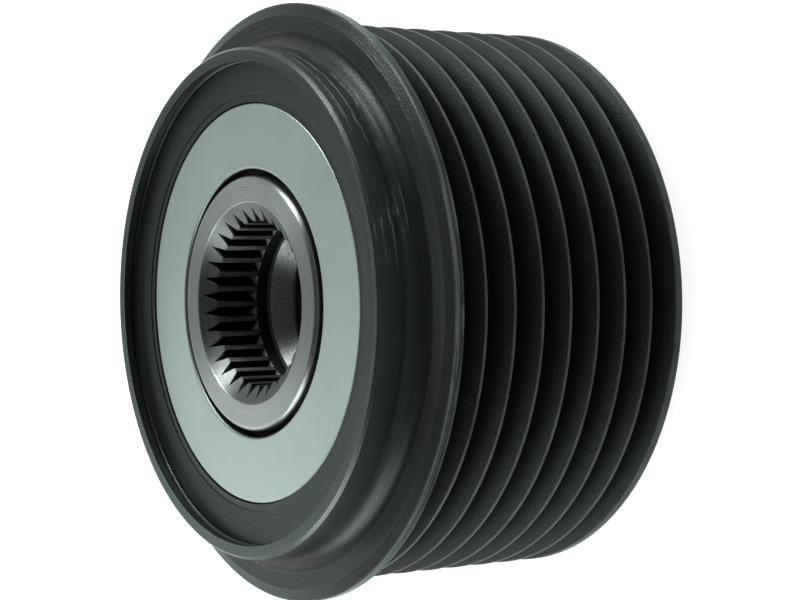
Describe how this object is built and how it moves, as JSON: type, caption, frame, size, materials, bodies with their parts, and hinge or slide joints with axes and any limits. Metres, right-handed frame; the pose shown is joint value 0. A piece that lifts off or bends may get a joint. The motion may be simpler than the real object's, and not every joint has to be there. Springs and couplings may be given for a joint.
{
  "type": "overrunning alternator pulley",
  "caption": "Grooved belt pulley with a front flange, a plated cover ring and a serrated hub, on needle bearings and a one-way roller clutch.",
  "frame": {"origin": "centre of the hub's rear seat face, on the axis of rotation", "axes": "+Z along the axis of rotation, from the hub's seat towards the tool socket"},
  "size_m": [0.0646, 0.0646, 0.0385],
  "materials": {
    "coated_steel": "black coated, satin, machined",
    "zinc_plate": "zinc plated, satin",
    "turned_steel": "fine turned",
    "race_steel": "ground",
    "roller_steel": "polished",
    "spring_steel": "tempered",
    "seal_steel": "phosphated",
    "seal_rubber": "matt",
    "cage_plastic": "moulded",
    "clutch_plastic": "moulded"
  },
  "bodies": {
    "hub": {"hub": "turned_steel", "ramp_sleeve": "race_steel", "front_thrust_ring": "race_steel", "rear_thrust_ring": "race_steel", "clutch_cage": "clutch_plastic", "clutch_roller_01": "roller_steel", "clutch_roller_02": "roller_steel", "clutch_roller_03": "roller_steel", "clutch_roller_04": "roller_steel", "clutch_roller_05": "roller_steel", "clutch_roller_06": "roller_steel", "clutch_roller_07": "roller_steel", "clutch_roller_08": "roller_steel", "clutch_roller_09": "roller_steel", "clutch_roller_10": "roller_steel", "clutch_spring_01": "spring_steel", "clutch_spring_02": "spring_steel", "clutch_spring_03": "spring_steel", "clutch_spring_04": "spring_steel", "clutch_spring_05": "spring_steel", "clutch_spring_06": "spring_steel", "clutch_spring_07": "spring_steel", "clutch_spring_08": "spring_steel", "clutch_spring_09": "spring_steel", "clutch_spring_10": "spring_steel"},
    "pulley": {"pulley": "coated_steel", "front_cover": "zinc_plate", "outer_sleeve": "race_steel", "outer_end_ring": "race_steel", "front_seal_case": "seal_steel", "front_seal_lip": "seal_rubber", "rear_seal_case": "seal_steel", "rear_seal_lip": "seal_rubber"},
    "front_bearing": {"front_cage": "cage_plastic", "front_needles": "roller_steel"},
    "rear_bearing": {"rear_cage": "cage_plastic", "rear_needles": "roller_steel"}
  },
  "joints": [
    {"name": "pulley_spin", "type": "hinge", "parent": "hub", "child": "pulley", "pos_m": [0, 0, 0.019], "axis": [0, 0, 1], "continuous": true},
    {"name": "front_cage_spin", "type": "hinge", "parent": "hub", "child": "front_bearing", "pos_m": [0, 0, 0.02824], "axis": [0, 0, 1], "continuous": true},
    {"name": "rear_cage_spin", "type": "hinge", "parent": "hub", "child": "rear_bearing", "pos_m": [0, 0, 0.0096], "axis": [0, 0, 1], "continuous": true}
  ],
  "couplings": [
    {"joint": "front_cage_spin", "follows": "pulley_spin", "ratio": 0.54318},
    {"joint": "rear_cage_spin", "follows": "pulley_spin", "ratio": 0.54318}
  ]
}
